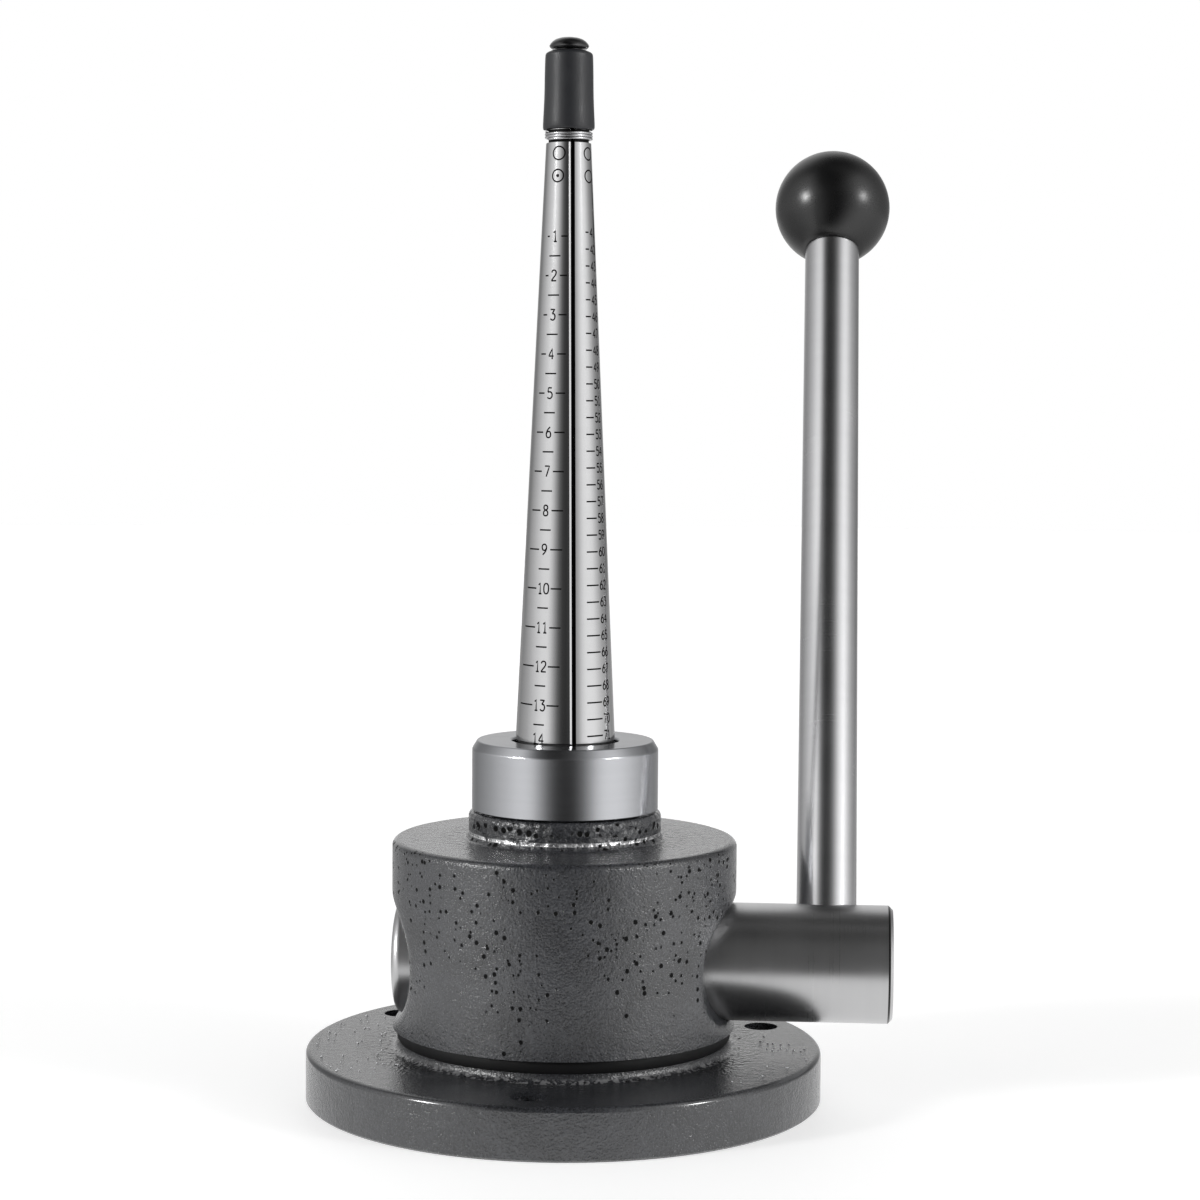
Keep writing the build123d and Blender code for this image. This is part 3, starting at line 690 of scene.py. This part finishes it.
# %% Turn the black ring
gasket_low, gasket_high, gasket_r, gasket_bore_r = 14.0, 17.0, 38.9, 16.0
gasket = turned("squeezed_ring", [
    (gasket_bore_r, gasket_low), (gasket_r - 0.35, gasket_low), (gasket_r - 0.1, gasket_low + 0.5),
    (gasket_r, gasket_low + 1.5), (gasket_r - 0.1, gasket_high - 0.5), (gasket_r - 0.35, gasket_high),
    (gasket_bore_r, gasket_high),
], sides=160, ring=True)
for turn in screw_turns:
    drill(gasket, screw_hole_r, screw_circle_r, turn, 13, 18, sides=48)
soften(gasket, 0.15, angle=60)
dress(gasket, gasket_rubber, "gasket_rubber", "frame", "base_gasket")

# %% [markdown]
# ## Collar
# The bright ring that holds the feet of the leaves down. It is turned from bar, with a wide
# chamfer on top, a small one round the bore, and a lip inside that reaches over the feet. Its
# whole section fits in one outline, so nothing has to be cut out of it.

# %% Turn the collar
collar_low, collar_top, collar_r, thread_r, lip_low, lip_r = 67.5, 83.53, 21.6, 17.05, 81.03, 12.3
collar = turned("bright_collar", [
    (thread_r, collar_low), (collar_r, collar_low), (collar_r, collar_top - 2.0), (collar_r - 1.2, collar_top),
    (lip_r + 0.4, collar_top), (lip_r, collar_top - 0.4), (lip_r, lip_low), (thread_r, lip_low),
], sides=160, ring=True)
soften(collar, 0.25)
dress(collar, collar_steel, "satin_steel", "frame", "collar")

# %% [markdown]
# ## The four leaves
# The mandrel is turned as one long cone, bored for the core, and then sawn into quarters. The
# model does the same: one turned cone and two bisecting planes for the saw, which leave cleaner
# walls than boxes cut out of it would. One leaf is made and copied three times.

# %% Sizes of the mandrel
leaf_foot_z, leaf_foot_top, leaf_top = 77.0, 81.0, 238.43
leaf_root_r, leaf_tip_r, slit = 11.52, 4.33, 0.95
leaf_slope = (leaf_root_r - leaf_tip_r) / (leaf_top - collar_top)
bore_foot_r, core_slope = 8.08, 0.03854
foot_r, foot_groove_r, foot_groove_low, foot_groove_high = 16.4, 14.6, 78.0, 80.0
relief, groove_low, groove_high, groove_r = 0.3, 220.53, 223.43, 4.6
fine = 1e-6  # metres: a bisecting plane's own threshold would swallow the smallest faces


def leaf_r(z):
    """Outer radius of the mandrel at a height."""
    return leaf_root_r - leaf_slope * (z - collar_top)


def bore_r(z):
    """Radius of the tapered bore at a height."""
    return bore_foot_r - core_slope * (z - leaf_foot_z)


print("mandrel, mm across:", round(2 * leaf_r(collar_top), 2), "to", round(2 * leaf_r(leaf_top), 2))


# %% Turn and saw one leaf
def steps_between(low, high, count):
    """Heights that cut a long run into equal lengths."""
    return [low + (high - low) * k / count for k in range(1, count)]


# the whole cone first: the saw leaves the quarter that points along X
leaf = turned("leaf_blank", [
    (bore_r(leaf_foot_z), leaf_foot_z), (foot_r, leaf_foot_z), (foot_r, foot_groove_low),
    (foot_groove_r, foot_groove_low), (foot_groove_r, foot_groove_high), (foot_r, foot_groove_high),
    (foot_r, leaf_foot_top), (leaf_root_r, leaf_foot_top),
    (leaf_root_r - relief, leaf_foot_top + relief), (leaf_root_r - relief, collar_top + 0.05),
    (leaf_r(collar_top + relief), collar_top + relief),
    *[(leaf_r(z), z) for z in steps_between(collar_top, groove_low, 8)],
    (leaf_r(groove_low), groove_low), (groove_r, groove_low), (groove_r, groove_high),
    (leaf_r(groove_high), groove_high), (leaf_r(leaf_top), leaf_top), (bore_r(leaf_top), leaf_top),
    *[(bore_r(z), z) for z in reversed(steps_between(leaf_foot_z, leaf_top, 8))],
], sides=144, ring=True)
only(leaf)
mode("EDIT")
for turn, side_kept in ((radians(-45), 1), (radians(45), -1)):
    side = Vector((-sin(turn), cos(turn), 0)) * side_kept
    bpy.ops.mesh.select_all(action="SELECT")
    bpy.ops.mesh.bisect(plane_co=side * slit / 2 * MM, plane_no=side, use_fill=True, clear_inner=True,
                        threshold=fine)
mode("OBJECT")
print("one leaf sawn,", len(leaf.data.polygons), "faces")

# %% [markdown]
# ### A stoned edge and the dowel's slot
# A narrow flat is stoned along one edge of each leaf, so that a ring slides round without catching.
# It is the bright line beside each slit. A bevel would treat all edges alike, so one more plane
# takes it off, through two places on the sunk edge and one on the cone. A slot in the foot lets
# the leaf slide on its dowel: a drill as wide as the dowel, its inner half moved in by the travel.

# %% Stone one edge
flat_wide, flat_deep = 0.46, 0.19
wall, edge_way = Vector((sqrt(0.5), -sqrt(0.5), 0)), Vector((sqrt(0.5), sqrt(0.5), 0))


def beside_edge(from_wall, deep, z):
    """A place on the cone at a distance from the saw's wall, or sunk below it."""
    along_edge = sqrt(leaf_r(z) ** 2 - from_wall ** 2) - deep
    return (wall * from_wall + edge_way * along_edge + Vector((0, 0, z))) * MM


low, high = (beside_edge(slit / 2, flat_deep, z) for z in (collar_top, leaf_top))
flat_way = (beside_edge(slit / 2 + flat_wide, 0, 150) - low).cross(high - low).normalized()
if flat_way.dot(edge_way) < 0:
    flat_way.negate()
only(leaf)
mode("EDIT")
bpy.ops.mesh.select_all(action="SELECT")
bpy.ops.mesh.bisect(plane_co=low, plane_no=flat_way, use_fill=True, clear_outer=True, threshold=fine)
mode("OBJECT")
print("flat faces", [round(part, 3) for part in flat_way])

# %% Cut the slot for the dowel
dowel_x, dowel_z, dowel_r, leaf_travel = 13.2, 79, 1.05, 0.23


def select_where(piece, test):
    """Go to edit mode with just those points selected whose place passes a test."""
    mode("EDIT")
    bpy.ops.mesh.select_all(action="DESELECT")
    mode("OBJECT")
    for vertex in piece.data.vertices:
        vertex.select = test(vertex.co)
    mode("EDIT")


bpy.ops.mesh.primitive_cylinder_add(vertices=32, radius=dowel_r * MM, depth=6 * MM,
                                    location=(dowel_x * MM, 0, dowel_z * MM))
slot_cutter = settle(bpy.context.object)
select_where(slot_cutter, lambda at: at.x < dowel_x * MM - fine)
bpy.ops.transform.translate(value=(-leaf_travel * MM, 0, 0))
mode("OBJECT")
cut(leaf, slot_cutter)
soften(leaf, 0.12, angle=35, segments=2, smooth=15)
print("slot", round(2 * dowel_r + leaf_travel, 2), "mm long")


# %% Four leaves from one
def leaf_turn(number):
    """The way that a leaf's middle line faces."""
    return radians(60 + 90 * (number - 1))


for number in range(1, 5):
    copy = bpy.data.objects.new(f"leaf_{number}_polished", leaf.data.copy())
    bpy.context.scene.collection.objects.link(copy)
    copy.rotation_euler.z = leaf_turn(number)
    dress(settle(copy), mandrel_steel, "mandrel_steel", f"leaf_{number}", f"mandrel_leaf_{number}")
bpy.data.objects.remove(leaf)

# %% Painted shade in the saw cuts
# whatever lies deeper than a little under the cone is painted dark and matt as painted shade: the sawn walls and the
# bore
cut_shade_depth = 0.2
x, y, z = parts_of(add_node(mandrel_steel.node_tree, "TexCoord").outputs["Object"])
sunk = minus(plus(times(z, -leaf_slope), (leaf_tip_r + leaf_slope * leaf_top) * MM), from_axis(x, y))
cut_shade = spread(sunk, cut_shade_depth * MM, cut_shade_depth * 1.6 * MM)
for name, dark in (("Base Color", painted_shade_black), ("Roughness", (0.6, 0.6, 0.6))):
    lay_over(mandrel_steel.node_tree.nodes["Principled BSDF"], cut_shade, name, dark)
print("oil starts", cut_shade_depth, "mm under the cone")

# %% [markdown]
# ## Engraved numbers
# A pantograph engraves with a round-nosed cutter, so each numeral is a line of even width. They
# are drawn the same way: a table of strokes, a curve with a round pen, made a mesh, pressed flat
# and wrapped onto the cone. The black filling stands 0.02 mm proud of the steel.

# %% Strokes of the ten numerals
# places are in hundredths of a numeral's height
strokes = {
    "0": [[(25, 100), (8, 93), (0, 70), (0, 30), (8, 7), (25, 0), (42, 7), (50, 30), (50, 70), (42, 93), (25, 100)]],
    "1": [[(8, 82), (27, 100), (27, 0)], [(10, 0), (44, 0)]],
    "2": [[(2, 78), (7, 95), (25, 102), (45, 95), (50, 75), (42, 52), (15, 22), (0, 0)], [(0, 0), (52, 0)]],
    "3": [[(3, 100), (48, 100), (22, 60)], [(22, 60), (40, 60), (52, 45), (52, 18), (40, 0), (20, -1), (3, 12)]],
    "4": [[(38, 0), (38, 100), (0, 30), (53, 30)]],
    "5": [[(46, 100), (8, 100), (5, 58)], [(5, 58), (22, 64), (42, 58), (52, 40), (50, 15), (36, 0), (15, -1),
         (0, 10)]],
    "6": [[(42, 100), (20, 80), (3, 50), (0, 25), (10, 3), (28, -1), (45, 6), (52, 28), (45, 52), (27, 60), (10, 52),
         (1, 32)]],
    "7": [[(0, 100), (50, 100), (17, 0)]],
    "8": [[(25, 54), (7, 63), (3, 80), (11, 97), (25, 101), (39, 97), (47, 80), (43, 63), (25, 54), (5, 43), (0, 22),
         (8, 3), (25, -1), (42, 3), (50, 22), (45, 43), (25, 54)]],
    "9": [[(8, 0), (30, 20), (47, 50), (50, 75), (40, 97), (22, 101), (5, 94), (-2, 72), (5, 48), (23, 40), (40, 48),
         (49, 68)]],
}
straight = {"1", "4", "7"}
numeral_step = 0.69


def rounded(line):
    """Cut the corners of a stroke twice, which leaves it smooth."""
    for _ in range(2):
        cut_line = [line[0]]
        for (ax, ay), (bx, by) in zip(line, line[1:]):
            cut_line += [(ax * 0.75 + bx * 0.25, ay * 0.75 + by * 0.25), (ax * 0.25 + bx * 0.75, ay * 0.25 + by * 0.75)]
        line = cut_line + [line[-1]]
    return line


def number_lines(text, middle, height, tall):
    """Strokes of a number centred at (middle, height), in millimetres along and up the leaf."""
    width = (numeral_step * (len(text) - 1) + 0.5) * tall
    lines = []
    for place, numeral in enumerate(text):
        left = middle - width / 2 + place * numeral_step * tall
        for stroke in strokes[numeral]:
            line = stroke if numeral in straight or len(stroke) < 4 else rounded(stroke)
            lines.append([(left + x / 100 * tall, height + (y / 100 - 0.5) * tall) for x, y in line])
    return lines


def circle_lines(middle, height, radius):
    """A closed ring as one stroke."""
    return [[(middle + radius * cos(k * pi / 14), height + radius * sin(k * pi / 14)) for k in range(29)]]


print(len(strokes), "numerals drawn")

# %% Engrave a set of lines on a leaf
pen_r, pen_flat, pen_sunk, longest_step = 0.19, 0.13, 0.004, 0.3


def in_short_steps(line):
    """Add points to a line, so that it can follow the cone instead of cutting through it."""
    short = [line[0]]
    for (ax, ay), (bx, by) in zip(line, line[1:]):
        count = max(1, round(abs(bx - ax) / longest_step + 0.5))
        short += [(ax + (bx - ax) * k / count, ay + (by - ay) * k / count) for k in range(1, count + 1)]
    return short


def engrave(name, leaf_number, lines):
    """Draw flat lines with a round pen, press them flat and wrap them on one leaf's cone."""
    drawing = bpy.data.curves.new(name, "CURVE")
    drawing.dimensions = "3D"
    drawing.bevel_depth = pen_r
    drawing.bevel_resolution = 1
    drawing.use_fill_caps = True
    for line in lines:
        line = in_short_steps(line)
        spline = drawing.splines.new("POLY")
        spline.points.add(len(line) - 1)
        for point, (x, y) in zip(spline.points, line):
            point.co = (x, y, 0, 1)
    piece = bpy.data.objects.new(name, drawing)
    bpy.context.scene.collection.objects.link(piece)
    only(piece)
    bpy.ops.object.convert(target="MESH")
    piece = bpy.context.object
    for vertex in piece.data.vertices:
        along, up, out = vertex.co
        radius = leaf_r(up) + out * pen_flat - pen_sunk
        turn = leaf_turn(leaf_number) + along / leaf_r(up)
        vertex.co = Vector((radius * cos(turn), radius * sin(turn), up)) * MM
    bpy.ops.object.shade_smooth()
    dress(piece, black_filling, "mandrel_steel", f"leaf_{leaf_number}")


# %% [markdown]
# ### The scale in front
# Numbers 1 to 14 run down the front leaf with a half mark between each pair. The side marks start
# as dots where the leaf is narrow and grow into lines where it is wide, because they end at a
# fixed angle from the saw cut and not at a fixed length. Every line is worked out from its number.

# %% Front scale, 1 to 14
front_first_z, front_step, front_tall = 199.2, 8.895, 2.4
right_turn, right_turn_step = radians(34.0), radians(-0.6)
left_turn, left_turn_step = radians(-14.2), radians(-1.57)
half_mark, last_lift = 1.45, 1.25
upper_ring_z, lower_ring_z, ring_r = 218.0, 212.9, 1.4
lines = []
for n in range(1, 15):
    z = front_first_z - front_step * (n - 1)
    r = leaf_r(z)
    middle = 0.67 - 0.026 * (n - 1)
    lines += number_lines(str(n), middle, z + (last_lift if n == 14 else 0.0), front_tall)
    half_width = 1.5 if n < 10 else 1.95
    if n < 14:
        below = z - front_step / 2
        lines += [
            [(middle + half_width, z), ((right_turn + right_turn_step * (n - 1)) * r, z)],
            [(middle - half_width, z), ((left_turn + left_turn_step * (n - 1)) * r, z)],
            [(middle - half_mark, below), (middle + half_mark, below)],
        ]
lines += circle_lines(0.9, upper_ring_z, 1.5)
lines += circle_lines(0.8, lower_ring_z, ring_r)
lines += circle_lines(0.8, lower_ring_z, 0.2)
engrave("front_scale", 3, lines)

# %% [markdown]
# ### The other three scales
# The leaf to the right of it carries a finer scale from 41 to 71, and the two at the back have
# plain ones of the usual kind. The same numerals and lines make them, at other steps.

# %% Side scale, 41 to 71
side_first_z, side_step, side_tall = 200.2, 3.825, 2.0
mark_from_cut, mark_end, number_gap = 3.2, radians(-6.0), 1.75
lines = []
for n in range(41, 72):
    z = side_first_z - side_step * (n - 41)
    r = leaf_r(z)
    lines.append([(-pi / 4 * r + mark_from_cut, z), (mark_end * r, z)])
    lines += number_lines(str(n), mark_end * r + number_gap, z, side_tall)
for z in (upper_ring_z, lower_ring_z):
    lines += circle_lines(radians(2.0) * leaf_r(z), z, ring_r)
engrave("side_scale", 4, lines)


# %% The two scales at the back
def plain_scale(name, leaf_number, last, top_z, bottom_z, tall):
    """Numbers from 1 down a leaf at even steps, each with one line to its right."""
    step = (top_z - bottom_z) / (last - 1)
    lines = []
    for n in range(1, last + 1):
        z = top_z - step * (n - 1)
        r = leaf_r(z)
        lines += number_lines(str(n), -0.1 * r, z, tall)
        lines.append([(-0.1 * r + 1.7, z), (radians(27.0) * r, z)])
    lines += circle_lines(0.0, upper_ring_z, ring_r)
    engrave(name, leaf_number, lines)


plain_scale("back_scale_right", 1, 33, 200.2, 85.6, 2.0)
plain_scale("back_scale_left", 2, 27, 199.8, 86.0, 2.2)

# %% [markdown]
# ## Rings that pull the leaves together
# Two springs close the mandrel again when the lever is let go: a thick ring round the feet, out
# of sight under the collar, and three turns of fine wire in a groove below the rubber sleeve. Both
# grooves are deep enough for the leaves to move out under the rings. The thick ring is a torus
# with a dent where its two ends were welded.

# %% Foot ring
foot_ring_r, wire_r, foot_ring_z = 15.83, 0.9, 79.0
bpy.ops.mesh.primitive_torus_add(major_segments=96, minor_segments=20, major_radius=foot_ring_r * MM,
                                 minor_radius=wire_r * MM, location=(0, 0, foot_ring_z * MM))
foot_ring = settle(bpy.context.object)
foot_ring.name = foot_ring.data.name = "feet_ring"
select_where(foot_ring, lambda at: at.y > 0 and abs(at.x) < 0.4 * MM)
bpy.ops.transform.resize(value=(1, 0.997, 1), center_override=(0, 0, foot_ring_z * MM))
mode("OBJECT")
bpy.ops.object.shade_smooth()
dress(foot_ring, spring_wire_steel, "spring_steel", "frame", "foot_ring")

# %% [markdown]
# ### The wound springs
# The fine wire is wound, and so is the spring inside the housing that pushes the core down and
# closes as the core lifts. A curve would also do, but the screw modifier winds as a machine does.
# The wire's ends are what tells a coil from a groove, so one of them is left in view.

# %% Coils by the screw modifier
def coil(name, mean_r, coil_wire_r, low_z, rise, turns, start_turn, wire_sides=12):
    """Wind a round wire: a small disc beside the axis, carried round and up by a screw modifier."""
    bpy.ops.mesh.primitive_circle_add(vertices=wire_sides, radius=coil_wire_r * MM,
                                      location=(mean_r * MM, 0, low_z * MM), rotation=(pi / 2, 0, 0))
    piece = settle(bpy.context.object)
    piece.name = piece.data.name = name
    steps = int(64 * turns)
    use(piece, "SCREW", axis="Z", angle=2 * pi * turns, screw_offset=rise * turns * MM, steps=steps,
        render_steps=steps, use_smooth_shade=True)
    mode("EDIT")
    bpy.ops.mesh.select_all(action="DESELECT")
    bpy.ops.mesh.select_mode(type="EDGE")
    bpy.ops.mesh.select_non_manifold()
    bpy.ops.mesh.edge_face_add()
    bpy.ops.mesh.select_all(action="SELECT")
    bpy.ops.mesh.normals_make_consistent()
    mode("OBJECT")
    piece.rotation_euler.z = start_turn
    return settle(piece)


tip_coil = coil("tip_coil", 5.2, 0.3, 221.33, 0.6, 2.9, radians(215))
dress(tip_coil, spring_wire_steel, "spring_steel", "frame", "spring_ring")
lift_coil = coil("lift_coil", 9.3, 0.7, 49.3, 2.85, 4.0, 0.0, wire_sides=16)
dress(lift_coil, spring_wire_steel, "spring_steel", "frame", "return_spring")
# the core lifts 6 mm and closes the spring against its upper stop, which stands at 61.4 mm
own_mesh(lift_coil)

# %% [markdown]
# ## Rubber sleeve and end cap
# The sleeve shields the sharp tips of the leaves. It is soft, so it follows the taper, bellies a
# little and has an uneven lower edge: few points and one subdivision make it soft. A flat-domed
# cap on the core's thread holds it down.

# %% Sleeve
sleeve_low, sleeve_top, cap_hole_r = 223.43, 241.03, 2.2
seat_z = sleeve_top - 2.3
sleeve = turned("soft_sleeve", [
    (leaf_r(sleeve_low) + 0.05, sleeve_low), (5.75, sleeve_low), (5.98, sleeve_low + 0.35), (5.88, sleeve_low + 2.5),
    (5.7, sleeve_low + 6.0), (5.6, sleeve_low + 9.0), (5.58, sleeve_low + 13.0), (5.5, sleeve_low + 15.9),
    (5.45, sleeve_top - 0.6), (5.36, sleeve_top - 0.25), (5.1, sleeve_top), (4.6, sleeve_top + 0.25),
    (4.0, sleeve_top + 0.5), (3.4, sleeve_top + 0.6), (3.15, sleeve_top + 0.2), (cap_hole_r, sleeve_top),
    (cap_hole_r, seat_z), (leaf_r(seat_z) + 0.05, seat_z),
], sides=96, ring=True)
# the edge was trimmed by hand: push the lowest ring up and down by a few hundredths
for vertex in sleeve.data.vertices:
    if vertex.co.z < (sleeve_low + 0.4) * MM:
        turn = atan2(vertex.co.y, vertex.co.x)
        vertex.co.z += (0.13 + 0.09 * sin(3 * turn + 1.0) + 0.05 * sin(7 * turn)) * MM
use(sleeve, "SUBSURF", levels=1, render_levels=1)
only(sleeve)
bpy.ops.object.shade_smooth_by_angle(angle=radians(50))
dress(sleeve, sleeve_rubber, "sleeve_rubber", "frame", "tip_sleeve")

# %% Cap
cap_z = 241.23
cap = turned("domed_cap", [
    (0, cap_z + 2.6), (1.52, cap_z + 2.6), (1.52, cap_z), (2.9, cap_z), (2.9, cap_z + 0.66), (4.0, cap_z + 0.66),
    (4.4, cap_z + 1.0), (4.55, cap_z + 1.35), (4.33, cap_z + 1.8), (3.85, cap_z + 2.35), (3.15, cap_z + 2.83),
    (2.2, cap_z + 3.15), (1.1, cap_z + 3.33), (0, cap_z + 3.4),
], sides=64)
soften(cap, 0.1, angle=50, segments=2)
dress(cap, cap_lacquer, "cap_black", "core", "end_cap")

# %% [markdown]
# ## Lever
# A ground rod screws into the cross shaft and carries a moulded ball. Both are turned upright,
# then leaned and moved onto the shaft's axis, so their own sizes can be read along the rod.

# %% Rod
shaft_r, rod_r, rod_high = 13.6, 7.0, 195.01
rod_low = sqrt(shaft_r ** 2 - rod_r ** 2) - 3.0
foot_end_r, ball_end_r, end_long, end_chamfer = 5.0, 4.0, 12.0, 0.8


def lean(piece):
    """Lean an upright piece onto the lever's line."""
    piece.rotation_euler.x = -lever_lean
    piece.location = Vector((lever_x, 0, shaft_z)) * MM
    settle(piece)


rod = turned("ground_rod", [
    (0, rod_low - end_long), (foot_end_r - end_chamfer, rod_low - end_long),
    (foot_end_r, rod_low - end_long + end_chamfer), (foot_end_r, rod_low), (rod_r, rod_low),
    *[(rod_r, z) for z in steps_between(rod_low, rod_high, 6)],
    (rod_r, rod_high), (ball_end_r, rod_high), (ball_end_r, rod_high + end_long - end_chamfer),
    (ball_end_r - end_chamfer, rod_high + end_long), (0, rod_high + end_long),
], sides=96)
soften(rod, 0.3, angle=35)
lean(rod)
dress(rod, rod_steel, "ground_steel", "lever", "lever_rod")

# %% Ball
ball_reach, ball_r, ball_flat_r = 208.0, 15.0, 7.5
insert_r, insert_waist_r = 6.0, 5.2
to_flat = sqrt(ball_r ** 2 - ball_flat_r ** 2)
flat_at, first_angle = ball_reach - to_flat, -atan2(to_flat, ball_flat_r)
angles = [first_angle + (pi / 2 - first_angle) * k / 40 for k in range(40)]
ball = turned("moulded_ball", [
    (0, flat_at + 14), (insert_r, flat_at + 14), (insert_r, flat_at + 9.5), (insert_waist_r, flat_at + 9.5),
    (insert_waist_r, flat_at + 4.5), (insert_r, flat_at + 4.5), (insert_r, flat_at),
    *[(ball_r * cos(angle), ball_reach + ball_r * sin(angle)) for angle in angles], (0, ball_reach + ball_r),
], sides=96)
soften(ball, 0.35, angle=35)
lean(ball)
dress(ball, ball_plastic, "black_plastic", "lever", "ball_knob")
